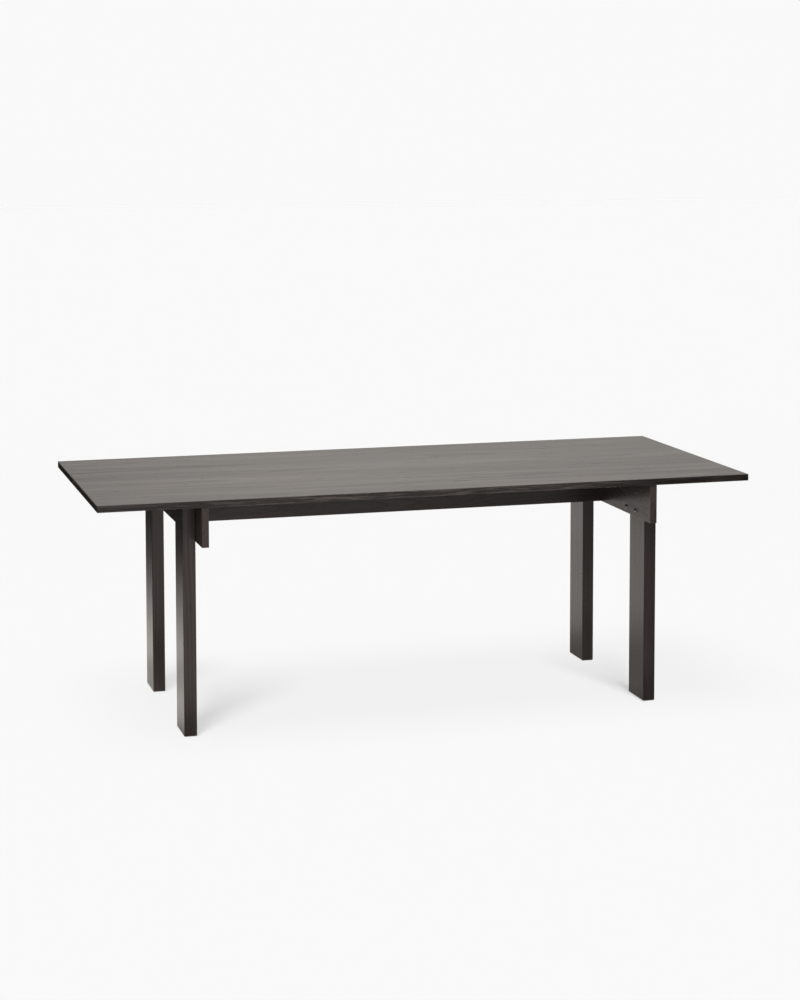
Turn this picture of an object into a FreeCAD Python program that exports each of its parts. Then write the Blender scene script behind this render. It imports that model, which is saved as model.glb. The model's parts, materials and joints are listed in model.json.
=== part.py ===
import FreeCAD, Part
import math
import os

# A dining table: a thin top on two cross rails and a spine rail, with four flat legs bolted to the cross
# rails. Sizes are in millimetres. X runs along the table, Y across it with the front at minus Y, and Z up.
# The origin is on the floor under the middle of the top.

# Whole table
TABLE_LENGTH = 2100.0
TABLE_DEPTH = 900.0
TABLE_HEIGHT = 750.0

# Top panel
TOP_THICKNESS = 21.0
TOP_CORNER_RADIUS = 2.5
TOP_EDGE_RADIUS = 1.5

# Legs, measured in from the ends and the long edges of the top
LEG_THICKNESS = 40.0
LEG_WIDTH = 125.0
LEG_END_INSET = 275.0
LEG_SIDE_INSET = 108.0
LEG_EDGE_RADIUS = 1.5
LEG_FOOT_BEVEL = 2.0

# Cross rails, one on the inner side of each pair of legs
RAIL_THICKNESS = 22.0
RAIL_HEIGHT = 123.0
RAIL_END_INSET = 5.0
RAIL_EDGE_RADIUS = 1.2

# Spine rail between the cross rails
SPINE_THICKNESS = 22.0
SPINE_HEIGHT = 123.0
SPINE_EDGE_RADIUS = 1.2

# Push-in glides under the legs, with barbed stems and a margin to the leg's sides
GLIDE_DIAMETER = 22.0
GLIDE_HEIGHT = 2.5
GLIDE_EDGE_RADIUS = 1.5
GLIDE_STEM_DIAMETER = 8.0
GLIDE_STEM_LENGTH = 12.0
GLIDE_BARB_DEPTH = 0.5
GLIDE_BARB_COUNT = 4
GLIDE_SIDE_MARGIN = 27.0

# Bolts that hold the legs to the cross rails, with margins to the leg's sides and to the rail's long edges
LEG_BOLT_DIAMETER = 8.0
LEG_BOLT_HEAD_OVERHANG = 3.5
LEG_BOLT_HEAD_HEIGHT = 4.6
LEG_BOLT_SOCKET = 5.0
LEG_BOLT_SIDE_MARGIN = 23.5
LEG_BOLT_LOWER_MARGIN = 20.0
LEG_BOLT_UPPER_MARGIN = 14.0

# Threaded inserts in the legs
INSERT_WALL = 2.0
INSERT_LENGTH = 20.0
INSERT_RIDGE_DEPTH = 0.6
INSERT_RIDGE_COUNT = 8

# Bolts and barrel nuts at the ends of the spine
SPINE_BOLT_DIAMETER = 6.0
SPINE_BOLT_HEAD_OVERHANG = 4.0
SPINE_BOLT_HEAD_HEIGHT = 3.6
SPINE_BOLT_SOCKET = 4.0
SPINE_BOLT_SPACING = 30.0
NUT_WALL = 2.0
NUT_SETBACK = 30.0
NUT_RECESS = 3.0
NUT_SLOT_WIDTH = 1.2
NUT_SLOT_DEPTH = 1.0

# Dowels at the ends of the spine
DOWEL_DIAMETER = 8.0
DOWEL_LENGTH = 30.0
DOWEL_END_BEVEL = 1.0
DOWEL_EDGE_MARGIN = 18.0
DOWEL_RAIL_COVER = 9.0

# Steel angles that hold the top
BRACKET_WIDTH = 40.0
BRACKET_REACH = 30.0
BRACKET_THICKNESS = 2.5
BRACKET_BEND_RADIUS = 2.0
BRACKET_CORNER_RADIUS = 3.0
BRACKET_SIDE_MARGIN = 9.0
BRACKET_END_MARGIN = 12.0
BRACKET_SLOT_TRAVEL = 5.0
SPINE_BRACKET_COUNT = 4

# Screws of the angles, with the wood that is left beyond their tips
SCREW_DIAMETER = 4.0
SCREW_HEAD_OVERHANG = 2.0
SCREW_HEAD_HEIGHT = 2.6
SCREW_TIP_LENGTH = 4.0
SCREW_TIP_RADIUS = 0.4
SCREW_RECESS_WIDTH = 0.9
SCREW_RECESS_LENGTH = 4.4
SCREW_COVER = 8.0

# Details that the fasteners share, and clearances on a radius or at the end of a hole
HEAD_RIM = 1.0
BOLT_TIP_BEVEL = 1.0
SOCKET_SHARE = 0.55
BOLT_HOLE_CLEARANCE = 0.5
THREAD_CLEARANCE = 0.05
WOOD_FIT = 0.05
NUT_FIT = 0.1
HOLE_SPARE_DEPTH = 1.0
INSERT_TIP_GAP = 2.0
NUT_TAIL = 3.0

# Places worked out from the sizes above
UNDERSIDE = TABLE_HEIGHT - TOP_THICKNESS
RAIL_BOTTOM = UNDERSIDE - RAIL_HEIGHT
SPINE_BOTTOM = UNDERSIDE - SPINE_HEIGHT
LEG_OUTER_X = TABLE_LENGTH / 2 - LEG_END_INSET
LEG_INNER_X = LEG_OUTER_X - LEG_THICKNESS
RAIL_INNER_X = LEG_INNER_X - RAIL_THICKNESS
LEG_OUTER_Y = TABLE_DEPTH / 2 - LEG_SIDE_INSET
LEG_INNER_Y = LEG_OUTER_Y - LEG_WIDTH
RAIL_HALF_LENGTH = TABLE_DEPTH / 2 - RAIL_END_INSET
JOINT_BOTTOM = max(RAIL_BOTTOM, SPINE_BOTTOM)
JOINT_MIDDLE = (JOINT_BOTTOM + UNDERSIDE) / 2
BRACKET_HOLE_DISTANCE = BRACKET_REACH - BRACKET_END_MARGIN
BRACKET_HOLE_SHIFT = BRACKET_WIDTH / 2 - BRACKET_SIDE_MARGIN

# Fastener sizes that follow from what they pass through
LEG_BOLT_LENGTH = RAIL_THICKNESS + INSERT_LENGTH - INSERT_TIP_GAP
INSERT_BORE = LEG_BOLT_DIAMETER / 2 + THREAD_CLEARANCE
INSERT_RADIUS = INSERT_BORE + INSERT_WALL
NUT_RADIUS = SPINE_BOLT_DIAMETER / 2 + NUT_WALL
NUT_LENGTH = SPINE_THICKNESS - 2 * NUT_RECESS
SPINE_BOLT_LENGTH = RAIL_THICKNESS + NUT_SETBACK + NUT_RADIUS + NUT_TAIL

SIDES = {"left": -1, "right": 1}
FACES = {"front": -1, "back": 1}
BRACKET_GROUPS = ("left", "right", "spine")

Vector = FreeCAD.Vector
ALONG = Vector(1, 0, 0)
ACROSS = Vector(0, 1, 0)
UP = Vector(0, 0, 1)


def span(low, high):
    """A square-edged block between its lowest and highest corners."""
    return Part.makeBox(high.x - low.x, high.y - low.y, high.z - low.z, low)


def parallel_edges(shape, axis):
    """The straight edges of a shape that run along an axis."""
    return [edge for edge in shape.Edges if edge.tangentAt(edge.FirstParameter).cross(axis).Length < WOOD_FIT]


def edges_below(shape, height):
    """The edges of a shape whose middle is lower than a height."""
    return [edge for edge in shape.Edges if edge.CenterOfMass.z < height]


def aimed(shape, start, direction):
    """A copy of a shape drawn along Z, moved to start at a point and run along a direction."""
    moved = shape.copy()
    moved.Placement = FreeCAD.Placement(start, FreeCAD.Rotation(UP, direction))
    return moved


def drill(radius, depth, start, direction):
    """The round cutter of a hole that starts at a point and runs along a direction."""
    return Part.makeCylinder(radius, depth, start, direction)


def chain(points):
    """Straight edges from each point to the next."""
    return [Part.makeLine(start, end) for start, end in zip(points, points[1:])]


def lathe(edges):
    """A solid turned about Z from the closed outline of its half section."""
    return Part.Face(Part.Wire(edges)).revolve(Vector(0, 0, 0), UP, 360)


def domed_fastener(head, head_height, shank, length, tip_radius, tip_length):
    """A fastener about Z, from its radii: a domed head below zero, and a shank from zero up to its tip."""
    rise = head_height - HEAD_RIM
    ball = (head ** 2 + rise ** 2) / (2 * rise)
    half_angle = math.asin(head / ball) / 2
    crown = Vector(0, 0, -head_height)
    shoulder = crown + Vector(ball * math.sin(half_angle), 0, ball * (1 - math.cos(half_angle)))
    rim = Vector(head, 0, -HEAD_RIM)
    dome = Part.Arc(crown, shoulder, rim).toShape()
    side = [
        rim,
        Vector(head, 0, 0),
        Vector(shank, 0, 0),
        Vector(shank, 0, length - tip_length),
        Vector(tip_radius, 0, length),
        Vector(0, 0, length),
        crown,
    ]
    return lathe([dome] + chain(side))


def hex_socket(across_flats, head_height):
    """The cutter of a six-sided key socket in a head that ends at minus its height."""
    corner = across_flats / math.sqrt(3)
    angles = [math.radians(60 * step) for step in range(7)]
    points = [Vector(corner * math.cos(angle), corner * math.sin(angle), -head_height) for angle in angles]
    return Part.Face(Part.makePolygon(points)).extrude(UP * (head_height * SOCKET_SHARE))


def key_bolt(shank, head_overhang, head_height, socket, length):
    """A domed bolt with a key socket, from the radius of its shank."""
    tip_radius = shank - BOLT_TIP_BEVEL
    body = domed_fastener(shank + head_overhang, head_height, shank, length, tip_radius, BOLT_TIP_BEVEL)
    return body.cut(hex_socket(socket, head_height))


def wood_screw(length):
    """A domed screw with a cross recess and a pointed tip."""
    shank = SCREW_DIAMETER / 2
    head = shank + SCREW_HEAD_OVERHANG
    body = domed_fastener(head, SCREW_HEAD_HEIGHT, shank, length, SCREW_TIP_RADIUS, SCREW_TIP_LENGTH)
    half_length = SCREW_RECESS_LENGTH / 2
    half_width = SCREW_RECESS_WIDTH / 2
    top = -SCREW_HEAD_HEIGHT
    floor = top * (1 - SOCKET_SHARE)
    bar = span(Vector(-half_length, -half_width, top), Vector(half_length, half_width, floor))
    cross_bar = span(Vector(-half_width, -half_length, top), Vector(half_width, half_length, floor))
    return body.cut([bar, cross_bar])


def barbs(radius, depth, start, length, count):
    """The section of saw-tooth rings that lean so as to go up into a hole easily and stay there."""
    pitch = length / count
    points = []
    for ring in range(count):
        points.append(Vector(radius, 0, start + ring * pitch))
        points.append(Vector(radius - depth, 0, start + (ring + 1) * pitch))
    return points


def threaded_insert():
    """A sleeve about Z with rings outside, from zero up into the leg."""
    mouth = Vector(INSERT_BORE, 0, 0)
    end = Vector(INSERT_BORE, 0, INSERT_LENGTH)
    rings = barbs(INSERT_RADIUS, INSERT_RIDGE_DEPTH, 0, INSERT_LENGTH, INSERT_RIDGE_COUNT)
    return lathe(chain([mouth] + rings + [end, mouth]))


def glide():
    """A glide about Z: a disc that stands on zero with a rounded lower edge, and a barbed stem above it."""
    radius = GLIDE_DIAMETER / 2
    edge = GLIDE_EDGE_RADIUS
    inner = Vector(radius - edge, 0, 0)
    outer = Vector(radius, 0, edge)
    slant = edge * math.sqrt(0.5)
    middle = Vector(radius - edge + slant, 0, edge - slant)
    stem = barbs(GLIDE_STEM_DIAMETER / 2, GLIDE_BARB_DEPTH, GLIDE_HEIGHT, GLIDE_STEM_LENGTH, GLIDE_BARB_COUNT)
    base = Vector(0, 0, 0)
    tip = Vector(0, 0, GLIDE_HEIGHT + GLIDE_STEM_LENGTH)
    rim = chain([outer, Vector(radius, 0, GLIDE_HEIGHT)] + stem + [tip, base, inner])
    return lathe([Part.Arc(inner, middle, outer).toShape()] + rim)


def barrel_nut():
    """A round nut along Z, with a cross thread along X through its middle and a driver slot in one end."""
    body = Part.makeCylinder(NUT_RADIUS, NUT_LENGTH)
    thread_start = Vector(-NUT_RADIUS, 0, NUT_LENGTH / 2)
    thread = drill(SPINE_BOLT_DIAMETER / 2 + THREAD_CLEARANCE, 2 * NUT_RADIUS, thread_start, ALONG)
    half_slot = NUT_SLOT_WIDTH / 2
    slot = span(Vector(-NUT_RADIUS, -half_slot, 0), Vector(NUT_RADIUS, half_slot, NUT_SLOT_DEPTH))
    return body.cut([thread, slot])


def dowel():
    """A dowel along Z with bevelled ends."""
    body = Part.makeCylinder(DOWEL_DIAMETER / 2, DOWEL_LENGTH)
    rims = [edge for edge in body.Edges if edge.isClosed()]
    return body.makeChamfer(DOWEL_END_BEVEL, rims)


def round_bend(body, y, z, radius):
    """An angle with one long edge rounded, the one through a point of its section."""
    point = Vector(0, y, z)
    edges = [edge for edge in body.Edges if (edge.CenterOfMass - point).Length < WOOD_FIT]
    return body.makeFillet(radius, edges)


def plate_corners(body):
    """The short edges of an angle at the free corners of its two plates."""
    found = []
    for edge in parallel_edges(body, UP) + parallel_edges(body, ACROSS):
        middle = edge.CenterOfMass
        if max(middle.y, -middle.z) > BRACKET_REACH - WOOD_FIT and edge.Length < BRACKET_REACH / 2:
            found.append(edge)
    return found


def bracket_slot(place, along_wall):
    """The cutter of one slot in an angle's plate under the top."""
    radius = SCREW_DIAMETER / 2 + BOLT_HOLE_CLEARANCE
    slide, width = (ALONG, ACROSS) if along_wall else (ACROSS, ALONG)
    travel = slide * (BRACKET_SLOT_TRAVEL / 2)
    middle = Vector(place, BRACKET_HOLE_DISTANCE, -BRACKET_THICKNESS)
    low = middle - travel - width * radius
    high = middle + travel + width * radius + UP * BRACKET_THICKNESS
    ends = [drill(radius, BRACKET_THICKNESS, middle + step, UP) for step in (travel, travel * -1)]
    return span(low, high).fuse(ends)


def angle_bracket(slots_along_wall):
    """An angle about its outer corner: a plate down a wall that faces plus Y, and a plate under the top."""
    reach = BRACKET_REACH
    wall = BRACKET_THICKNESS
    corners = [(0, 0), (reach, 0), (reach, -wall), (wall, -wall), (wall, -reach), (0, -reach), (0, 0)]
    outline = [Vector(-BRACKET_WIDTH / 2, y, z) for y, z in corners]
    body = Part.Face(Part.makePolygon(outline)).extrude(ALONG * BRACKET_WIDTH)
    body = round_bend(body, 0, 0, BRACKET_BEND_RADIUS + wall)
    body = round_bend(body, wall, -wall, BRACKET_BEND_RADIUS)
    body = body.makeFillet(BRACKET_CORNER_RADIUS, plate_corners(body))
    hole = SCREW_DIAMETER / 2 + BOLT_HOLE_CLEARANCE
    for place in (-BRACKET_HOLE_SHIFT, BRACKET_HOLE_SHIFT):
        hole_start = Vector(place, 0, -BRACKET_HOLE_DISTANCE)
        body = body.cut([drill(hole, wall, hole_start, ACROSS), bracket_slot(place, slots_along_wall)])
    return body


def spine_bracket_sites():
    """The sites along the spine, the same from both ends: the outermost in front, the next behind."""
    pitch = 2 * RAIL_INNER_X / SPINE_BRACKET_COUNT
    sites = []
    for step in range(SPINE_BRACKET_COUNT):
        steps_from_end = min(step, SPINE_BRACKET_COUNT - 1 - step)
        facing = ACROSS * (-1 if steps_from_end % 2 == 0 else 1)
        x = (step + 0.5) * pitch - RAIL_INNER_X
        sites.append((Vector(x, facing.y * SPINE_THICKNESS / 2, UNDERSIDE), facing))
    return sites


def bracket_sites(group):
    """The corner where each angle of a group sits, and the way that its wall faces."""
    if group == "spine":
        return spine_bracket_sites()
    x = SIDES[group] * RAIL_INNER_X
    y = (SPINE_THICKNESS / 2 + LEG_INNER_Y) / 2
    return [(Vector(x, face * y, UNDERSIDE), ALONG * -SIDES[group]) for face in FACES.values()]


def screw_lines(group):
    """For each pair of screws of an angle, their points along its corner, with the way that it faces."""
    lines = []
    for corner, facing in bracket_sites(group):
        along = UP.cross(facing) * BRACKET_HOLE_SHIFT
        lines.append((corner + along, facing))
        lines.append((corner - along, facing))
    return lines


def wall_screw_points(group):
    """Where each screw of a group enters its rail, and its direction."""
    drop = UP * BRACKET_HOLE_DISTANCE
    return [(corner - drop, facing * -1) for corner, facing in screw_lines(group)]


def top_screw_points(group):
    """Where each screw of a group enters the top."""
    return [corner + facing * BRACKET_HOLE_DISTANCE for corner, facing in screw_lines(group)]


def leg_bolt_points(side, face):
    """Where the bolts of one leg cross the plane between the leg and its cross rail."""
    heights = (RAIL_BOTTOM + LEG_BOLT_LOWER_MARGIN, UNDERSIDE - LEG_BOLT_UPPER_MARGIN)
    places = (LEG_INNER_Y + LEG_BOLT_SIDE_MARGIN, LEG_OUTER_Y - LEG_BOLT_SIDE_MARGIN)
    return [Vector(side * LEG_INNER_X, face * y, z) for z in heights for y in places]


def glide_points(side, face):
    """Where the glides of one leg stand on the floor."""
    x = side * (LEG_INNER_X + LEG_OUTER_X) / 2
    places = (LEG_INNER_Y + GLIDE_SIDE_MARGIN, LEG_OUTER_Y - GLIDE_SIDE_MARGIN)
    return [Vector(x, face * y, 0) for y in places]


def spine_bolt_heights():
    """The heights of the two bolts at each end of the spine."""
    return (JOINT_MIDDLE - SPINE_BOLT_SPACING / 2, JOINT_MIDDLE + SPINE_BOLT_SPACING / 2)


def dowel_heights():
    """The heights of the two dowels at each end of the spine."""
    return (JOINT_BOTTOM + DOWEL_EDGE_MARGIN, UNDERSIDE - DOWEL_EDGE_MARGIN)


def screw_pilots(points, wood):
    """The cutters of the pilot holes for screws into wood of a thickness."""
    depth = wood - SCREW_COVER + HOLE_SPARE_DEPTH
    return [drill(SCREW_DIAMETER / 2 + WOOD_FIT, depth, point, direction) for point, direction in points]


def table_top():
    """The top panel, with eased edges and the screws' pilot holes in its underside."""
    low = Vector(-TABLE_LENGTH / 2, -TABLE_DEPTH / 2, UNDERSIDE)
    panel = span(low, Vector(TABLE_LENGTH / 2, TABLE_DEPTH / 2, TABLE_HEIGHT))
    panel = panel.makeFillet(TOP_CORNER_RADIUS, parallel_edges(panel, UP))
    rims = [edge for edge in panel.Edges if edge.BoundBox.ZLength < TOP_THICKNESS / 2]
    panel = panel.makeFillet(TOP_EDGE_RADIUS, rims)
    points = [(point, UP) for group in BRACKET_GROUPS for point in top_screw_points(group)]
    return panel.cut(screw_pilots(points, TOP_THICKNESS))


def leg(side, face):
    """One leg, with eased edges and blind holes for its inserts and its glides' stems."""
    xs = sorted((side * LEG_INNER_X, side * LEG_OUTER_X))
    ys = sorted((face * LEG_INNER_Y, face * LEG_OUTER_Y))
    board = span(Vector(xs[0], ys[0], GLIDE_HEIGHT), Vector(xs[1], ys[1], UNDERSIDE))
    board = board.makeChamfer(LEG_FOOT_BEVEL, edges_below(board, GLIDE_HEIGHT + WOOD_FIT))
    upright = [edge for edge in board.Edges if edge.BoundBox.ZLength > WOOD_FIT]
    board = board.makeFillet(LEG_EDGE_RADIUS, upright)
    insert_depth = INSERT_LENGTH + HOLE_SPARE_DEPTH
    cutters = []
    for point in leg_bolt_points(side, face):
        cutters.append(drill(INSERT_RADIUS + WOOD_FIT, insert_depth, point, ALONG * side))
    stem_depth = GLIDE_STEM_LENGTH + HOLE_SPARE_DEPTH
    for point in glide_points(side, face):
        cutters.append(drill(GLIDE_STEM_DIAMETER / 2 + WOOD_FIT, stem_depth, point + UP * GLIDE_HEIGHT, UP))
    return board.cut(cutters)


def cross_rail(side_name):
    """One cross rail, bored for the leg bolts, the spine's bolts and dowels, and the screws."""
    side = SIDES[side_name]
    inward = ALONG * -side
    xs = sorted((side * RAIL_INNER_X, side * LEG_INNER_X))
    low = Vector(xs[0], -RAIL_HALF_LENGTH, RAIL_BOTTOM)
    board = span(low, Vector(xs[1], RAIL_HALF_LENGTH, UNDERSIDE))
    board = board.makeFillet(RAIL_EDGE_RADIUS, edges_below(board, UNDERSIDE - WOOD_FIT))
    cutters = screw_pilots(wall_screw_points(side_name), RAIL_THICKNESS)
    leg_hole = LEG_BOLT_DIAMETER / 2 + BOLT_HOLE_CLEARANCE
    for face in FACES.values():
        for point in leg_bolt_points(side, face):
            cutters.append(drill(leg_hole, RAIL_THICKNESS, point, inward))
    spine_hole = SPINE_BOLT_DIAMETER / 2 + BOLT_HOLE_CLEARANCE
    for height in spine_bolt_heights():
        cutters.append(drill(spine_hole, RAIL_THICKNESS, Vector(side * LEG_INNER_X, 0, height), inward))
    dowel_depth = RAIL_THICKNESS - DOWEL_RAIL_COVER + HOLE_SPARE_DEPTH
    for height in dowel_heights():
        start = Vector(side * RAIL_INNER_X, 0, height)
        cutters.append(drill(DOWEL_DIAMETER / 2 + WOOD_FIT, dowel_depth, start, ALONG * side))
    return board.cut(cutters)


def spine_end_cutters(side):
    """The cutters of the bolt, nut and dowel holes at one end of the spine."""
    inward = ALONG * -side
    bolt_depth = SPINE_BOLT_LENGTH - RAIL_THICKNESS + HOLE_SPARE_DEPTH
    nut_depth = SPINE_THICKNESS - NUT_RECESS
    dowel_depth = DOWEL_LENGTH + DOWEL_RAIL_COVER - RAIL_THICKNESS + HOLE_SPARE_DEPTH
    cutters = []
    for height in spine_bolt_heights():
        start = Vector(side * RAIL_INNER_X, 0, height)
        cutters.append(drill(SPINE_BOLT_DIAMETER / 2 + BOLT_HOLE_CLEARANCE, bolt_depth, start, inward))
        nut_start = start + inward * NUT_SETBACK + ACROSS * (SPINE_THICKNESS / 2)
        cutters.append(drill(NUT_RADIUS + NUT_FIT, nut_depth, nut_start, ACROSS * -1))
    for height in dowel_heights():
        start = Vector(side * RAIL_INNER_X, 0, height)
        cutters.append(drill(DOWEL_DIAMETER / 2 + WOOD_FIT, dowel_depth, start, inward))
    return cutters


def spine_rail():
    """The spine, bored at its ends for its fasteners and in its faces for the screws."""
    half = SPINE_THICKNESS / 2
    board = span(Vector(-RAIL_INNER_X, -half, SPINE_BOTTOM), Vector(RAIL_INNER_X, half, UNDERSIDE))
    lower = [edge for edge in parallel_edges(board, ALONG) if edge.CenterOfMass.z < JOINT_MIDDLE]
    board = board.makeFillet(SPINE_EDGE_RADIUS, lower)
    cutters = screw_pilots(wall_screw_points("spine"), SPINE_THICKNESS)
    for side in SIDES.values():
        cutters += spine_end_cutters(side)
    return board.cut(cutters)


def foot_glides(side, face):
    """The glides under one leg."""
    foot = glide()
    return Part.makeCompound([aimed(foot, point, UP) for point in glide_points(side, face)])


def leg_bolts(side, face):
    """The bolts of one leg, with their heads on the inner face of the cross rail."""
    shank = LEG_BOLT_DIAMETER / 2
    bolt = key_bolt(shank, LEG_BOLT_HEAD_OVERHANG, LEG_BOLT_HEAD_HEIGHT, LEG_BOLT_SOCKET, LEG_BOLT_LENGTH)
    outward = ALONG * side
    seats = [point - outward * RAIL_THICKNESS for point in leg_bolt_points(side, face)]
    return Part.makeCompound([aimed(bolt, seat, outward) for seat in seats])


def leg_inserts(side, face):
    """The threaded inserts of one leg, flush with its inner face."""
    insert = threaded_insert()
    return Part.makeCompound([aimed(insert, point, ALONG * side) for point in leg_bolt_points(side, face)])


def spine_bolts(side):
    """The bolts at one end of the spine, with their heads on the outer face of the cross rail."""
    shank = SPINE_BOLT_DIAMETER / 2
    bolt = key_bolt(
        shank, SPINE_BOLT_HEAD_OVERHANG, SPINE_BOLT_HEAD_HEIGHT, SPINE_BOLT_SOCKET, SPINE_BOLT_LENGTH
    )
    seats = [Vector(side * LEG_INNER_X, 0, height) for height in spine_bolt_heights()]
    return Part.makeCompound([aimed(bolt, seat, ALONG * -side) for seat in seats])


def spine_barrel_nuts(side):
    """The barrel nuts at one end of the spine, across its thickness."""
    nut = barrel_nut()
    x = side * (RAIL_INNER_X - NUT_SETBACK)
    starts = [Vector(x, NUT_LENGTH / 2, height) for height in spine_bolt_heights()]
    return Part.makeCompound([aimed(nut, start, ACROSS * -1) for start in starts])


def spine_dowels(side):
    """The dowels at one end of the spine, part in the cross rail and part in the spine."""
    pin = dowel()
    x = side * (LEG_INNER_X - DOWEL_RAIL_COVER)
    starts = [Vector(x, 0, height) for height in dowel_heights()]
    return Part.makeCompound([aimed(pin, start, ALONG * -side) for start in starts])


def brackets(group):
    """The angles of one rail."""
    angle = angle_bracket(slots_along_wall=group != "spine")
    placed = []
    for corner, facing in bracket_sites(group):
        turned = angle.copy()
        turned.Placement = FreeCAD.Placement(corner, FreeCAD.Rotation(facing.cross(UP), facing, UP, "ZYX"))
        placed.append(turned)
    return Part.makeCompound(placed)


def bracket_screws(group):
    """The screws of one rail's angles into the rail."""
    wood = SPINE_THICKNESS if group == "spine" else RAIL_THICKNESS
    screw = wood_screw(BRACKET_THICKNESS + wood - SCREW_COVER)
    points = wall_screw_points(group)
    return Part.makeCompound([aimed(screw, point - way * BRACKET_THICKNESS, way) for point, way in points])


def top_screws(group):
    """The screws of one rail's angles into the top."""
    screw = wood_screw(BRACKET_THICKNESS + TOP_THICKNESS - SCREW_COVER)
    seats = [point - UP * BRACKET_THICKNESS for point in top_screw_points(group)]
    return Part.makeCompound([aimed(screw, seat, UP) for seat in seats])


def all_pieces():
    """Every piece of the table under its own name."""
    pieces = {"table_top": table_top(), "spine_rail": spine_rail()}
    for side_name, side in SIDES.items():
        pieces[side_name + "_cross_rail"] = cross_rail(side_name)
        pieces[side_name + "_spine_bolts"] = spine_bolts(side)
        pieces[side_name + "_spine_barrel_nuts"] = spine_barrel_nuts(side)
        pieces[side_name + "_spine_dowels"] = spine_dowels(side)
        for face_name, face in FACES.items():
            corner = face_name + "_" + side_name
            pieces[corner + "_leg"] = leg(side, face)
            pieces[corner + "_leg_bolts"] = leg_bolts(side, face)
            pieces[corner + "_leg_inserts"] = leg_inserts(side, face)
            pieces[corner + "_foot_glides"] = foot_glides(side, face)
    for group in BRACKET_GROUPS:
        rail = group if group == "spine" else group + "_rail"
        pieces[rail + "_brackets"] = brackets(group)
        pieces[rail + "_bracket_screws"] = bracket_screws(group)
        pieces[rail + "_top_screws"] = top_screws(group)
    return pieces


os.makedirs("parts", exist_ok=True)
for name, shape in all_pieces().items():
    shape.exportStep("parts/" + name + ".step")
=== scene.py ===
"""Looks of the dining table: dark-stained oak boards, bolted together, on a pale studio floor."""
import json
import math

import bpy
from mathutils import Euler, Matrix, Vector


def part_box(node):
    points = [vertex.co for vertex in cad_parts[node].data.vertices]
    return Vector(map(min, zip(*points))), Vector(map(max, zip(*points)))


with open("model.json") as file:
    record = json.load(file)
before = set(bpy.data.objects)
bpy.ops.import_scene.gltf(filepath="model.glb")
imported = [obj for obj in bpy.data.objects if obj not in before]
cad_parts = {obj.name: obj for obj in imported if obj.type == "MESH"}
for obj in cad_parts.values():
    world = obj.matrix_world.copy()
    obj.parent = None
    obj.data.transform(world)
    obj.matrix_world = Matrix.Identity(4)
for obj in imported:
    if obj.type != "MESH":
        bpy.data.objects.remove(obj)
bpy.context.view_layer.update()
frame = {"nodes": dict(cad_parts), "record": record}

# Camera, fitted to the corners of the top and the feet of the legs
IMAGE_HEIGHT = 1000
FOCAL_PIXELS = 2233.5
AXIS_ROW = 300
SENSOR = 36.0
CAMERA_PLACE = (-1.988, -6.982, 1.901)
CAMERA_TURN = 15.99
CAMERA_DIP = 4.72
CAMERA_ROLL = -0.076
CAMERA_REACH = 200.0

# Studio: an even pale floor, and the sweep of white paper that the table reflects
WHITE = (1.0, 1.0, 1.0)
BLACK = (0.0, 0.0, 0.0)
WHITE_LEVEL = 0.947
FLOOR_SIZE = 80.0
FLOOR_ALBEDO = 0.008
SKY_ON_FLOOR = 0.60
PAPER_TINT = (1.0, 0.95, 0.895)
PAPER_TURN = 7.0
PAPER_LEFT = -2.1
PAPER_RIGHT = 4.0
PAPER_FRONT = 6.0
PAPER_BACK = 3.4
PAPER_BEND = 0.9
PAPER_HEIGHT = 3.2
PAPER_DROP = 0.004
BEND_STEPS = 12

# How brightly the paper glows, and the stretches over which one level turns into the next
FRONT_LEFT_GLOW = 0.85
FRONT_RIGHT_GLOW = 1.45
FRONT_FADE = (0.3, 2.2)
FRONT_NEAR_GLOW = 0.90
FRONT_DIM_GLOW = 0.40
FRONT_DIM_FADE = (0.2, 1.3)
FRONT_END_FADE = (3.10, 2.68)
FAR_TO_NEAR = (-4.15, -3.75)
MIDDLE_LEFT_GLOW = 0.92
MIDDLE_GLOW = 0.82
MIDDLE_BACK_LIFT = 1.25
MIDDLE_BACK_FADE = (2.2, 3.2)
MIDDLE_FADE = (-0.9, -0.6)
FRONT_TO_MIDDLE = (-1.2, -0.2)
BACK_GLOW = 0.615
BACK_LEFT_SHARE = 0.80
BACK_LEFT_FADE = (-1.5, 0.1)
BACK_RIGHT_SHARE = 0.82
BACK_RIGHT_FADE = (3.4, 0.3)
MIDDLE_TO_BACK = (3.8, 4.2)
LEFT_EDGE_FADE = (-2.05, -0.92)
LEFT_EDGE_SKEW = 0.20
LEFT_EDGE_PIVOT = 1.5
LEFT_EDGE_REACH = 2.5
BACK_EDGE_FADE = (-1.49, -1.19)
RIGHT_EDGE_FADE = (PAPER_RIGHT, 3.2)
UNDER_SHADE = 0.50
UNDER_LEFT_FADE = (-0.84, -0.70)
UNDER_RIGHT_FADE = (1.3, 0.9)
UNDER_FRONT_FADE = (-1.0, -0.5)
UNDER_BACK_FADE = (1.2, 0.2)
FOOT_SHADE = 0.30
FOOT_FADE = (0.38, 0.10)
FOOT_OFFSETS = {"front": (0.05, -0.16), "back": (0.0, 0.2)}

# Light of the room round the paper, by how high it lies
SKY_LOW = 0.03
SKY_HORIZON = 0.50
SKY_HIGH = 0.90
HORIZON_FADE = (-0.08, -0.02)
SKY_FADE = (0.06, 0.6)
SKY_TINT = (1.0, 0.955, 0.91)

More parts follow.
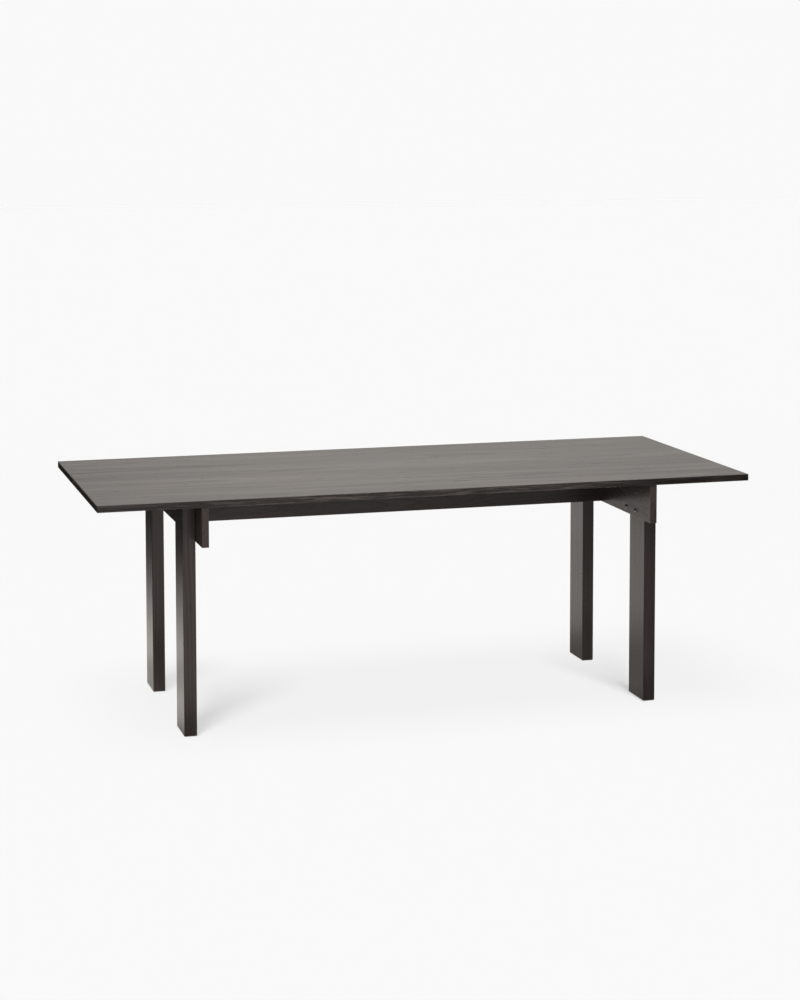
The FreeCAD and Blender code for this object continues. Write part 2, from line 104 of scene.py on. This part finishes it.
# Lamps: a streak's lamp has a bearing, a rise and a strength
SHADE_STRENGTH = 26.0
SHADE_SPREAD = 36.0
SHADE_RISE = 78.0
SHADE_BEARING = -70.0
STREAK_SPREAD = 20.0
STREAKS = {
    "front_left_leg": (-31.0, 50.0, 118.0),
    "back_left_leg": (-31.0, 66.0, 80.0),
    "front_right_leg": (0.0, 54.0, 150.0),
}
FILL_PLACE = (-1.2, -2.6, 2.7)
FILL_TARGET = (-0.6, -0.3, 0.4)
FILL_SIDE = 1.2
FILL_POWER = 18.0

# Boards: axes of grain, width and depth, then pith, figure, matt and painted light as oak() takes them.
# Painted light is painted light and shade: it makes single boards lighter or darker for how light falls on
# them
BOARDS = {
    "table_top": ("XYZ", (0.02, 0.11), 1.0, 0.12, 1.0),
    "spine_rail": ("XZY", (0.03, 0.07), 0.4, 0.14, 0.80),
    "left_cross_rail": ("YZX", (-0.02, 0.08), 0.35, 0.17, 1.2),
    "right_cross_rail": ("YZX", (0.04, -0.06), 0.35, 0.17, 1.5),
    "front_left_leg": ("ZYX", (0.03, 0.08), 0.22, 0.12, 1.0),
    "front_right_leg": ("ZYX", (-0.05, 0.09), 0.22, 0.12, 0.65),
    "back_left_leg": ("ZYX", (0.06, -0.07), 0.22, 0.12, 1.0),
    "back_right_leg": ("ZYX", (-0.02, -0.10), 0.22, 0.12, 0.80),
}
GLUED_PANEL = "table_top"
LEGS = [node for node in BOARDS if node.endswith("_leg")]

# Growth rings of the oak, with scales along, across and through the board
STAVE_WIDTH = 0.150
STAVE_SHIFT = 0.7
SINGLE_TONE = 0.5
RING_STEP = 0.0040
RING_TAPER = 0.016
SWAY = 0.10
SWAY_SCALE = (1.1, 3.0, 3.0)
RIPPLE = 0.007
RIPPLE_SCALE = (7.0, 16.0, 16.0)
YEAR_SPREAD = 2.0
YEAR_SCALE = 60.0
EARLY_WOOD = (0.42, 0.05)

# Open grain, pores, flecks and light streaks of the oak. Streaks scale by length, ring and stave
BAND_SCALE = 95.0
BAND_SHIFT = 3.0
BAND_SHARE = 1.5
BROAD_SCALE = 24.0
BROAD_SHIFT = 5.0
BROAD_SHARE = 1.3
CLOUD_SCALE = (0.9, 7.0, 7.0)
CLOUD_SHARE = 0.7
STAVE_SHARE = 0.15
OPEN_GRAIN = 0.45
FIBRE_SCALE = (5.0, 420.0, 420.0)
PORE_LENGTH = 0.012
PORE_WIDTH = 0.0007
PORE_LEVELS = (0.54, 0.64)
FEWEST_PORES = 0.3
FLECK_SCALE = (13.0, 75.0, 75.0)
FLECK_LEVELS = (0.69, 0.76)
LINE_SCALE = (1.5, 170.0, 9.0)
LINE_LEVELS = (0.44, 0.68)
LINE_ROUGHNESS = 0.6

# Long edges of the top, whose grain runs at a slant. Their colour carries painted shade, darker towards
# both ends, and painted light, a little lighter in the middle
RIM_START = 0.002
RIM_FULL = 0.0005
RIM_SLANT = 0.025
RIM_LINE_SCALE = (9.0, 240.0)
RIM_LINE_LEVELS = (0.42, 0.64)
RIM_FIGURE = 0.4
RIM_LEFT_PAINTED_SHADE = 0.60
RIM_MIDDLE_PAINTED_LIGHT = 1.08
RIM_RIGHT_PAINTED_SHADE = 0.42
RIM_LEFT_SHADE_FADE = (-0.80, -0.60)
RIM_RIGHT_SHADE_FADE = (0.52, 0.70)

# Colour, gloss and relief of the oak
OAK_COLOURS = (
    (0.10, (0.0095, 0.0059, 0.0053)),
    (0.50, (0.0320, 0.0207, 0.0186)),
    (0.95, (0.0720, 0.0495, 0.0445)),
)
LIGHT_STREAK = (0.078, 0.0635, 0.0595)
PORE_COLOUR = (0.006, 0.0043, 0.0038)
WORN_AND_HIGHLIGHT_COLOUR = (0.105, 0.077, 0.067)
LIGHTEST = 0.78
OPEN_GRAIN_DARK = 0.42
EARLY_DARK = 0.26
FIBRE_SPREAD = 0.5
STREAK_DARK = 0.45
STREAK_LIGHT = 0.65
PORE_DARK = 0.8
FLECK_DARK = 0.85
EDGE_WEAR_AND_HIGHLIGHT = 0.0022
WEAR_SCALE = (30.0, 160.0, 160.0)
WEAR_LEVELS = (0.30, 0.75)
WEAR_AND_HIGHLIGHT_SHARE = 0.55
FIBRE_ROUGH = 0.08
OPEN_GRAIN_ROUGH = 0.10
DARK_ROUGH = 0.22
FIBRE_HEIGHT = 0.35
EARLY_HEIGHT = 0.25
OAK_IOR = 1.5

# Colours of the hardware
STEEL_COLOURS = ((0.3, (0.26, 0.255, 0.25)), (0.7, (0.38, 0.375, 0.37)))
RUBBED_STEEL = (0.50, 0.49, 0.48)
ZINC_COLOURS = ((0.3, (0.42, 0.44, 0.47)), (0.55, (0.58, 0.59, 0.60)), (0.8, (0.62, 0.60, 0.55)))
BEECH_COLOURS = ((0.3, (0.47, 0.30, 0.17)), (0.7, (0.62, 0.44, 0.28)))
BEECH_RAY = (0.33, 0.19, 0.10)
NYLON_COLOURS = ((0.3, (0.020, 0.018, 0.017)), (0.7, (0.034, 0.031, 0.029)))
SCUFFED_NYLON = (0.09, 0.085, 0.08)


def opaque(colour):
    return (*colour, 1.0)


class Nodes:
    """Adds nodes to one material or world and joins them. An argument is a socket, a number or a colour."""

    def __init__(self, owner):
        self.owner = owner
        owner.use_nodes = True
        self.tree = owner.node_tree
        self.tree.nodes.clear()

    def node(self, kind, **settings):
        made = self.tree.nodes.new("ShaderNode" + kind)
        for key, value in settings.items():
            setattr(made, key, value)
        return made

    def put(self, socket, value):
        if isinstance(value, bpy.types.NodeSocket):
            self.tree.links.new(value, socket)
        elif value is not None:
            socket.default_value = value

    def math(self, operation, first, second=None, clamp=False):
        made = self.node("Math", operation=operation, use_clamp=clamp)
        for socket, value in zip(made.inputs, (first, second)):
            self.put(socket, value)
        return made.outputs[0]

    def add(self, first, second):
        return self.math("ADD", first, second)

    def minus(self, first, second):
        return self.math("SUBTRACT", first, second)

    def times(self, first, second):
        return self.math("MULTIPLY", first, second)

    def centred(self, value, share):
        """A share of a value that swings about one half, moved to swing about nought."""
        return self.times(self.add(value, -0.5), share)

    def total(self, base, *parts):
        """A base value with a share of each part added."""
        for part, share in parts:
            base = self.add(self.times(part, share), base)
        return base

    def between(self, factor, first, second):
        """The first value where the factor is nought, turning into the second where it is one."""
        return self.add(self.times(factor, self.minus(second, first)), first)

    def blend(self, factor, first, second):
        made = self.node("Mix", data_type="RGBA", blend_type="MIX")
        self.put(made.inputs["Factor"], factor)
        self.put(made.inputs[6], first)
        self.put(made.inputs[7], second)
        return made.outputs[2]

    def span(self, value, low, high, to_low=0.0, to_high=1.0, smooth=True):
        made = self.node("MapRange", interpolation_type="SMOOTHSTEP" if smooth else "LINEAR")
        for socket, item in zip(made.inputs, (value, low, high, to_low, to_high)):
            self.put(socket, item)
        return made.outputs[0]

    def vector(self, x, y, z):
        made = self.node("CombineXYZ")
        for socket, value in zip(made.inputs, (x, y, z)):
            self.put(socket, value)
        return made.outputs[0]

    def split(self, vector):
        made = self.node("SeparateXYZ")
        self.put(made.inputs[0], vector)
        return dict(zip("XYZ", made.outputs))

    def stretch(self, vector, scale):
        made = self.node("VectorMath", operation="MULTIPLY")
        self.put(made.inputs[0], vector)
        self.put(made.inputs[1], scale)
        return made.outputs[0]

    def dim(self, colour, factor):
        return self.stretch(colour, self.vector(factor, factor, factor))

    def noise(self, vector, scale=1.0, detail=2.0, roughness=0.5):
        made = self.node("TexNoise", noise_dimensions="3D")
        self.put(made.inputs["Vector"], vector)
        self.put(made.inputs["Scale"], scale)
        self.put(made.inputs["Detail"], detail)
        self.put(made.inputs["Roughness"], roughness)
        return made.outputs["Fac"]

    def line_noise(self, value, scale, detail=2.0):
        made = self.node("TexNoise", noise_dimensions="1D")
        self.put(made.inputs["W"], value)
        self.put(made.inputs["Scale"], scale)
        self.put(made.inputs["Detail"], detail)
        return made.outputs["Fac"]

    def ramp(self, factor, stops):
        made = self.node("ValToRGB")
        bar = made.color_ramp.elements
        while len(bar) < len(stops):
            bar.new(0.5)
        for element, (place, colour) in zip(bar, stops):
            element.position = place
            element.color = opaque(colour)
        self.put(made.inputs[0], factor)
        return made.outputs[0]

    def bump(self, height, distance, strength):
        made = self.node("Bump")
        made.inputs["Strength"].default_value = strength
        made.inputs["Distance"].default_value = distance
        self.put(made.inputs["Height"], height)
        return made.outputs["Normal"]

    def place(self):
        return self.node("TexCoord").outputs["Object"]

    def surface(self, colour, roughness, normal, **others):
        shader = self.node("BsdfPrincipled")
        self.put(shader.inputs["Base Color"], colour)
        self.put(shader.inputs["Roughness"], roughness)
        self.put(shader.inputs["Normal"], normal)
        for key, value in others.items():
            self.put(shader.inputs[key], value)
        out = self.node("OutputMaterial")
        self.put(out.inputs["Surface"], shader.outputs[0])
        return self.owner


def new_finish(name):
    return Nodes(bpy.data.materials.new(name))


class Board(Nodes):
    """The nodes of one oak board, and places along, across and through it."""

    def __init__(self, node, order):
        super().__init__(bpy.data.materials.new("oak_" + node))
        self.low, self.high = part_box(node)
        self.axes = self.split(self.place())
        self.along, self.across, self.through = (self.axes[axis] for axis in order)
        self.spot = self.vector(self.along, self.across, self.through)
        self.side, self.half_width = self.from_middle(order[1])
        self.rise = self.from_middle(order[2])[0]

    def from_middle(self, axis):
        """Distance from the board's middle along an axis, and half its size there."""
        index = "XYZ".index(axis)
        low, high = self.low[index], self.high[index]
        return self.minus(self.axes[axis], (low + high) / 2), (high - low) / 2

    def grain(self, scale, detail, roughness=0.5):
        return self.noise(self.stretch(self.spot, scale), 1.0, detail, roughness)

    def edge_distance(self):
        """Distance from a point on a face of the board's box to the nearest edge of that face."""
        gaps = []
        for index, axis in enumerate("XYZ"):
            below = self.minus(self.axes[axis], self.low[index])
            above = self.minus(self.high[index], self.axes[axis])
            gaps.append(self.math("MINIMUM", below, above))
        near = self.math("MINIMUM", gaps[0], gaps[1])
        far = self.math("MAXIMUM", gaps[0], gaps[1])
        return self.math("MAXIMUM", near, self.math("MINIMUM", far, gaps[2]))


def stave_place(board):
    """Place across the stave of a glued panel, and a tone by chance for that stave."""
    count = board.math("DIVIDE", board.side, STAVE_WIDTH)
    chance = board.node("TexWhiteNoise", noise_dimensions="1D")
    board.put(chance.inputs["W"], board.math("FLOOR", count))
    side = board.times(board.minus(board.math("FRACT", count), 0.5), STAVE_WIDTH)
    return side, chance.outputs["Value"]


def ring_reach(board, side, shift, pith, ripple):
    """Distance from the heart of the tree, which sways, tapers and ripples along the board."""
    drift = board.grain(SWAY_SCALE, 2.0)
    offset = board.add(side, board.add(board.centred(drift, SWAY), pith[0]))
    deep = board.add(board.rise, pith[1])
    reach = board.math("SQRT", board.add(board.times(offset, offset), board.times(deep, deep)))
    taper = board.times(board.add(board.along, shift), RING_TAPER)
    return board.add(board.add(reach, taper), board.times(ripple, RIPPLE))


def early_wood(board, reach):
    """The open-pored start of each growth ring, with broad and narrow years."""
    wander = board.times(board.line_noise(reach, YEAR_SCALE), YEAR_SPREAD)
    years = board.add(board.math("DIVIDE", reach, RING_STEP), wander)
    return board.span(board.math("FRACT", years), *EARLY_WOOD)


def open_grain(board, reach, tone):
    """How open the grain is, in bands of rings, in clouds and by stave."""
    bands = board.line_noise(board.add(reach, board.times(tone, BAND_SHIFT)), BAND_SCALE, 3.0)
    broad = board.line_noise(board.add(reach, board.times(tone, BROAD_SHIFT)), BROAD_SCALE, 2.0)
    cloud = board.grain(CLOUD_SCALE, 3.0)
    parts = ((bands, BAND_SHARE), (broad, BROAD_SHARE), (cloud, CLOUD_SHARE), (tone, STAVE_SHARE))
    level = OPEN_GRAIN
    for part, share in parts:
        level = board.add(board.centred(part, share), level)
    return board.math("MULTIPLY", level, 1.0, clamp=True)


def oak_pores(board, early, opened):
    """Fine dark pores, most of them in early wood and open grain."""
    where = [board.add(board.times(part, 1 - FEWEST_PORES), FEWEST_PORES) for part in (early, opened)]
    pores = board.grain((1 / PORE_LENGTH, 1 / PORE_WIDTH, 1 / PORE_WIDTH), 1.0)
    return board.times(board.span(pores, *PORE_LEVELS), board.times(*where))


def light_streaks(board, reach, tone):
    """Light lines along the grain that follow the rings."""
    values = (board.along, reach, tone)
    lines = board.vector(*(board.times(value, scale) for value, scale in zip(values, LINE_SCALE)))
    return board.span(board.noise(lines, 1.0, 3.0, LINE_ROUGHNESS), *LINE_LEVELS)


def long_edges(board, ripple, streaks, figure, painted_light):
    """Streaks, figure and painted light of the top, changed on its long edges, which are painted darker
    towards both ends.
    """
    away = board.math("ABSOLUTE", board.side)
    rim = board.span(away, board.half_width - RIM_START, board.half_width - RIM_FULL)
    slant = board.add(board.through, board.times(ripple, RIM_SLANT))
    run = board.times(board.along, RIM_LINE_SCALE[0])
    lines = board.vector(run, board.times(slant, RIM_LINE_SCALE[1]), board.across)
    lines = board.span(board.noise(lines, 1.0, 2.0, LINE_ROUGHNESS), *RIM_LINE_LEVELS)
    # Painted shade and light along the edge: darker towards both ends and a little lighter in the middle,
    # for how light falls along it
    rim_painted_light = board.span(board.along, *RIM_LEFT_SHADE_FADE, RIM_LEFT_PAINTED_SHADE, RIM_MIDDLE_PAINTED_LIGHT)
    rim_painted_light = board.span(board.along, *RIM_RIGHT_SHADE_FADE, rim_painted_light, RIM_RIGHT_PAINTED_SHADE)
    streaks = board.between(rim, streaks, lines)
    figure = board.add(board.times(rim, RIM_FIGURE), figure)
    return streaks, figure, board.between(rim, painted_light, rim_painted_light)


def oak(node, order, pith, figure, matt, painted_light):
    """Stained oak for one board. Pith is where its rings centre, figure is how strongly light and dark
    streaks show, matt is its least roughness, and painted_light is painted light and shade: how much
    lighter or darker the board is painted for how light falls on it."""
    board = Board(node, order)
    ripple = board.grain(RIPPLE_SCALE, 3.0)
    side, tone, shift = board.side, SINGLE_TONE, 0.0
    if node == GLUED_PANEL:
        side, tone = stave_place(board)
        shift = board.times(tone, STAVE_SHIFT)
    reach = ring_reach(board, side, shift, pith, ripple)
    early = early_wood(board, reach)
    opened = open_grain(board, reach, tone)
    fibre = board.grain(FIBRE_SCALE, 4.0, 0.6)
    pores = oak_pores(board, early, opened)
    flecks = board.span(board.grain(FLECK_SCALE, 2.0), *FLECK_LEVELS)
    streaks = light_streaks(board, reach, tone)
    if node == GLUED_PANEL:
        streaks, figure, painted_light = long_edges(board, ripple, streaks, figure, painted_light)

    # Wood, then streaks, painted light and shade of the board, and dark pores and flecks
    value = board.minus(LIGHTEST, board.times(opened, OPEN_GRAIN_DARK))
    value = board.minus(value, board.times(early, EARLY_DARK))
    value = board.add(value, board.centred(fibre, FIBRE_SPREAD))
    colour = board.ramp(value, OAK_COLOURS)
    gloom = board.times(board.minus(1.0, streaks), board.times(figure, STREAK_DARK))
    colour = board.dim(colour, board.minus(1.0, gloom))
    bright = board.times(streaks, board.times(figure, STREAK_LIGHT))
    # Painted light and shade: the whole board is made lighter or darker for how light falls on it
    colour = board.dim(board.blend(bright, colour, opaque(LIGHT_STREAK)), painted_light)
    dark = board.math("MAXIMUM", board.times(pores, PORE_DARK), board.times(flecks, FLECK_DARK))
    colour = board.blend(dark, colour, opaque(PORE_COLOUR))

    # Lighter on the edges: partly wear where hands and cloths have rubbed them, partly a painted highlight
    # along the arrises
    patches = board.span(board.grain(WEAR_SCALE, 3.0), *WEAR_LEVELS)
    rubbed = board.times(board.span(board.edge_distance(), EDGE_WEAR_AND_HIGHLIGHT, 0.0), patches)
    colour = board.blend(board.times(rubbed, WEAR_AND_HIGHLIGHT_SHARE), colour, opaque(WORN_AND_HIGHLIGHT_COLOUR))

    parts = ((fibre, FIBRE_ROUGH), (opened, OPEN_GRAIN_ROUGH), (dark, DARK_ROUGH))
    roughness = board.total(matt, *parts)
    height = board.minus(board.times(fibre, FIBRE_HEIGHT), pores)
    height = board.minus(height, board.times(early, EARLY_HEIGHT))
    normal = board.bump(height, distance=0.00008, strength=0.3)
    return board.surface(colour, roughness, normal, IOR=OAK_IOR)


def dark_steel():
    """Dark nickel plate of the bolts, rubbed brighter in patches."""
    nodes = new_finish("dark_steel")
    place = nodes.place()
    mottle = nodes.noise(place, scale=700.0, detail=3.0)
    rubbed = nodes.span(nodes.noise(place, scale=240.0, detail=3.0), low=0.45, high=0.70, to_high=0.6)
    specks = nodes.noise(place, scale=3500.0, detail=2.0)
    colour = nodes.blend(rubbed, nodes.ramp(mottle, STEEL_COLOURS), opaque(RUBBED_STEEL))
    roughness = nodes.total(0.18, (mottle, 0.16))
    normal = nodes.bump(specks, distance=0.00004, strength=0.4)
    return nodes.surface(colour, roughness, normal, Metallic=1.0)


def zinc_steel():
    """Bright zinc plate on angles, screws, inserts and nuts."""
    nodes = new_finish("zinc_steel")
    place = nodes.place()
    cloud = nodes.noise(place, scale=160.0, detail=3.0)
    lines = nodes.noise(nodes.stretch(place, (180.0, 180.0, 2600.0)), detail=2.0)
    colour = nodes.ramp(cloud, ZINC_COLOURS)
    roughness = nodes.total(0.20, (cloud, 0.15), (lines, 0.16))
    normal = nodes.bump(lines, distance=0.00003, strength=0.5)
    return nodes.surface(colour, roughness, normal, Metallic=1.0)


def beech():
    """Plain beech of the dowels, with short ray flecks along the grain."""
    nodes = new_finish("beech_dowel")
    place = nodes.place()
    fibre = nodes.noise(nodes.stretch(place, (30.0, 900.0, 900.0)), detail=3.0)
    rays = nodes.noise(nodes.stretch(place, (350.0, 2200.0, 2200.0)), detail=1.0)
    rays = nodes.span(rays, low=0.60, high=0.68, to_high=0.6)
    colour = nodes.blend(rays, nodes.ramp(fibre, BEECH_COLOURS), opaque(BEECH_RAY))
    roughness = nodes.total(0.55, (fibre, 0.2))
    normal = nodes.bump(fibre, distance=0.0001, strength=0.4)
    return nodes.surface(colour, roughness, normal)


def nylon():
    """Dark moulded nylon of the glides, with a fine moulded grain and scuffs."""
    nodes = new_finish("nylon")
    place = nodes.place()
    grain = nodes.noise(place, scale=2600.0, detail=2.0)
    scuff = nodes.noise(nodes.stretch(place, (260.0, 1400.0, 900.0)), detail=3.0)
    scuff = nodes.span(scuff, low=0.55, high=0.75)
    colour = nodes.ramp(grain, NYLON_COLOURS)
    colour = nodes.blend(nodes.times(scuff, 0.35), colour, opaque(SCUFFED_NYLON))
    roughness = nodes.total(0.42, (scuff, 0.12), (grain, 0.15))
    normal = nodes.bump(grain, distance=0.00006, strength=0.4)
    return nodes.surface(colour, roughness, normal)


def dress(node, material):
    """Gives one CAD node its finish."""
    for item in frame["nodes"][node].material_slots:
        item.link = "OBJECT"
        item.material = material


def dress_boards():
    for node, look in BOARDS.items():
        dress(node, oak(node, *look))


def dress_hardware():
    finishes = {
        "dark_steel": dark_steel(),
        "zinc_steel": zinc_steel(),
        "beech_dowel": beech(),
        "nylon": nylon(),
    }
    for part in frame["record"]["subparts"]:
        if part["material_slot"] in finishes:
            dress(part["node"], finishes[part["material_slot"]])


def new_object(name, data):
    made = bpy.data.objects.new(name, data)
    bpy.context.scene.collection.objects.link(made)
    return made


def group(name, objects):
    made = bpy.data.collections.new(name)
    for item in objects:
        made.objects.link(item)
    return made


def stage_piece(name, corners, faces):
    mesh = bpy.data.meshes.new(name)
    mesh.from_pydata(corners, [], faces)
    piece = new_object(name, mesh)
    return piece


def matt_glow(nodes, colour, glow, tint):
    """A matt finish that also glows."""
    shader = nodes.node("BsdfPrincipled")
    shader.inputs["Base Color"].default_value = opaque(colour)
    shader.inputs["Roughness"].default_value = 1.0
    shader.inputs["Specular IOR Level"].default_value = 0.0
    shader.inputs["Emission Color"].default_value = opaque(tint)
    nodes.put(shader.inputs["Emission Strength"], glow)
    out = nodes.node("OutputMaterial")
    nodes.put(out.inputs["Surface"], shader.outputs[0])
    return nodes.owner


def make_floor():
    """The wide floor that the camera sees. Its glow doesn't reach the table, which the paper lights."""
    half = FLOOR_SIZE / 2
    corners = [(-half, -half, 0), (half, -half, 0), (half, half, 0), (-half, half, 0)]
    floor = stage_piece("studio_floor", corners, [(0, 1, 2, 3)])
    grey = (FLOOR_ALBEDO, FLOOR_ALBEDO, FLOOR_ALBEDO)
    lamps = [(SHADE_RISE, SHADE_STRENGTH)] + [streak[1:] for streak in STREAKS.values()]
    light = sum(strength * math.sin(math.radians(rise)) for rise, strength in lamps) / math.pi
    glow = WHITE_LEVEL - FLOOR_ALBEDO * (light + SKY_ON_FLOOR)
    floor.data.materials.append(matt_glow(new_finish("studio_floor"), grey, glow, WHITE))
    floor.visible_diffuse = False
    floor.visible_glossy = False
    return floor


def foot_shade(nodes, place):
    """The share of light left on the paper round the feet of the legs."""
    turn = math.radians(PAPER_TURN)
    light = 1.0
    for leg in LEGS:
        low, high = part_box(leg)
        offset = FOOT_OFFSETS[leg.split("_")[0]]
        x = (low[0] + high[0]) / 2 + offset[0]
        y = (low[1] + high[1]) / 2 + offset[1]
        gap = nodes.node("VectorMath", operation="DISTANCE")
        nodes.put(gap.inputs[0], place)
        foot = (x * math.cos(turn) - y * math.sin(turn), x * math.sin(turn) + y * math.cos(turn), 0.0)
        nodes.put(gap.inputs[1], foot)
        near = nodes.span(gap.outputs["Value"], *FOOT_FADE)
        light = nodes.times(nodes.minus(1.0, nodes.times(near, FOOT_SHADE)), light)
    return light


def front_glow(nodes, along, back):
    """The paper's glow in front of the table, far from it and near it."""
    far = nodes.span(along, *FRONT_FADE, FRONT_LEFT_GLOW, FRONT_RIGHT_GLOW)
    far = nodes.times(far, nodes.span(along, *FRONT_END_FADE))
    near = nodes.span(along, *FRONT_DIM_FADE, FRONT_NEAR_GLOW, FRONT_DIM_GLOW)
    return nodes.span(back, *FAR_TO_NEAR, far, near)


def middle_glow(nodes, along, back):
    """The paper's glow beside and under the table."""
    level = nodes.span(along, *MIDDLE_FADE, MIDDLE_LEFT_GLOW, MIDDLE_GLOW)
    return nodes.times(level, nodes.span(back, *MIDDLE_BACK_FADE, 1.0, MIDDLE_BACK_LIFT))


def back_glow(nodes, along):
    """The paper's glow where it stands behind the table."""
    level = nodes.span(along, *BACK_LEFT_FADE, BACK_LEFT_SHARE * BACK_GLOW, BACK_GLOW)
    level = nodes.times(level, nodes.span(along, *BACK_RIGHT_FADE, BACK_RIGHT_SHARE, 1.0))
    return nodes.times(level, nodes.span(along, *BACK_EDGE_FADE))


def table_shade(nodes, along, back):
    """The share of light left on the paper under the table."""
    under = nodes.times(nodes.span(along, *UNDER_LEFT_FADE), nodes.span(along, *UNDER_RIGHT_FADE))
    under = nodes.times(under, nodes.span(back, *UNDER_FRONT_FADE))
    under = nodes.times(under, nodes.span(back, *UNDER_BACK_FADE))
    return nodes.minus(1.0, nodes.times(under, UNDER_SHADE))


def left_edge(nodes, along, back):
    """The share of light left towards the paper's left edge, which lies askew."""
    reach = nodes.math("MINIMUM", back, LEFT_EDGE_REACH)
    skew = nodes.times(nodes.minus(reach, LEFT_EDGE_PIVOT), LEFT_EDGE_SKEW)
    left = nodes.span(nodes.minus(along, skew), *LEFT_EDGE_FADE, smooth=False)
    return nodes.times(left, left)


def paper_finish():
    """Paper that glows, with levels of its own in front, below and behind, and shade under the table."""
    nodes = new_finish("paper_sweep")
    place = nodes.place()
    axes = nodes.split(place)
    along, back = axes["X"], axes["Y"]
    front = front_glow(nodes, along, back)
    glow = nodes.span(back, *FRONT_TO_MIDDLE, front, middle_glow(nodes, along, back))
    glow = nodes.times(glow, table_shade(nodes, along, back))
    glow = nodes.times(glow, foot_shade(nodes, place))
    glow = nodes.times(glow, left_edge(nodes, along, back))
    glow = nodes.span(back, *MIDDLE_TO_BACK, glow, back_glow(nodes, along))
    glow = nodes.times(glow, nodes.span(along, *RIGHT_EDGE_FADE))
    return matt_glow(nodes, BLACK, glow, PAPER_TINT)


def make_paper():
    """A sweep of paper, flat under the table and curved up behind it, that lights the table alone."""
    path = [(-PAPER_FRONT, -PAPER_DROP)]
    for step in range(BEND_STEPS + 1):
        angle = math.pi / 2 * step / BEND_STEPS
        run = PAPER_BACK + PAPER_BEND * math.sin(angle)
        path.append((run, PAPER_BEND * (1 - math.cos(angle)) - PAPER_DROP))
    path.append((path[-1][0], PAPER_HEIGHT))
    corners = []
    for run, rise in path:
        corners += [(PAPER_LEFT, run, rise), (PAPER_RIGHT, run, rise)]
    faces = [(2 * i, 2 * i + 1, 2 * i + 3, 2 * i + 2) for i in range(len(path) - 1)]
    paper = stage_piece("paper_sweep", corners, faces)
    paper.rotation_euler = (0.0, 0.0, math.radians(-PAPER_TURN))
    paper.data.materials.append(paper_finish())
    paper.visible_camera = False
    paper.visible_shadow = False
    paper.light_linking.receiver_collection = group("lit_by_paper", frame["nodes"].values())
    return paper


def make_world():
    """A dim studio with light from above, behind an even white backdrop."""
    world = bpy.data.worlds.new("studio")
    bpy.context.scene.world = world
    nodes = Nodes(world)
    rise = nodes.split(nodes.node("TexCoord").outputs["Generated"])["Z"]
    level = nodes.span(rise, *HORIZON_FADE, SKY_LOW, SKY_HORIZON)
    level = nodes.span(rise, *SKY_FADE, level, SKY_HIGH)
    pick = nodes.node("MixShader")
    nodes.put(pick.inputs[0], nodes.node("LightPath").outputs["Is Camera Ray"])
    for socket, tint, strength in ((1, SKY_TINT, level), (2, WHITE, WHITE_LEVEL)):
        light = nodes.node("Background")
        nodes.put(light.inputs["Color"], opaque(tint))
        nodes.put(light.inputs["Strength"], strength)
        nodes.put(pick.inputs[socket], light.outputs[0])
    out = nodes.node("OutputWorld")
    nodes.put(out.inputs["Surface"], pick.outputs[0])


def floor_lamp(name, floor, blockers, strength, spread, rise, bearing):
    """A far lamp that lights the floor alone. The blockers collection says what can shade it."""
    lamp = bpy.data.lights.new(name, "SUN")
    lamp.energy = strength
    lamp.angle = math.radians(spread)
    made = new_object(name, lamp)
    made.rotation_euler = Euler((math.radians(90 - rise), 0.0, math.radians(bearing)))
    made.light_linking.receiver_collection = group("lit_by_" + name, [floor])
    made.light_linking.blocker_collection = blockers


def make_shade(floor, paper):
    """The table's soft shadow on the floor, and streaks from single legs. The paper shades nothing."""
    not_paper = group("not_shaded_by_paper", [paper])
    not_paper.collection_objects[0].light_linking.link_state = "EXCLUDE"
    floor_lamp("shade", floor, not_paper, SHADE_STRENGTH, SHADE_SPREAD, SHADE_RISE, SHADE_BEARING)
    for leg, (bearing, rise, strength) in STREAKS.items():
        blocker = group("shaded_by_" + leg, [frame["nodes"][leg]])
        floor_lamp("streak_" + leg, floor, blocker, strength, STREAK_SPREAD, rise, bearing)


def make_fill():
    """A softbox in front that lights the table alone and leaves the floor even."""
    lamp = bpy.data.lights.new("fill", "AREA")
    lamp.shape = "RECTANGLE"
    lamp.size = FILL_SIDE
    lamp.size_y = FILL_SIDE
    lamp.energy = FILL_POWER
    fill = new_object("fill", lamp)
    fill.location = FILL_PLACE
    aim = Vector(FILL_TARGET) - Vector(FILL_PLACE)
    fill.rotation_euler = aim.to_track_quat("-Z", "Y").to_euler()
    fill.light_linking.receiver_collection = group("lit_by_fill", frame["nodes"].values())


def make_camera():
    """A camera at the photograph's place, with the frame set below its lens axis."""
    lens = bpy.data.cameras.new("camera")
    lens.sensor_width = SENSOR
    lens.lens = FOCAL_PIXELS / IMAGE_HEIGHT * SENSOR
    lens.shift_y = AXIS_ROW / IMAGE_HEIGHT - 0.5
    lens.clip_end = CAMERA_REACH
    camera = new_object("camera", lens)
    camera.location = CAMERA_PLACE
    turn = Euler((math.radians(90 - CAMERA_DIP), 0.0, math.radians(-CAMERA_TURN))).to_matrix()
    roll = Euler((0.0, 0.0, math.radians(CAMERA_ROLL))).to_matrix()
    camera.rotation_euler = (turn @ roll).to_euler()
    bpy.context.scene.camera = camera


dress_boards()
dress_hardware()
make_shade(make_floor(), make_paper())
make_world()
make_fill()
make_camera()
bpy.context.scene.view_settings.view_transform = "Standard"
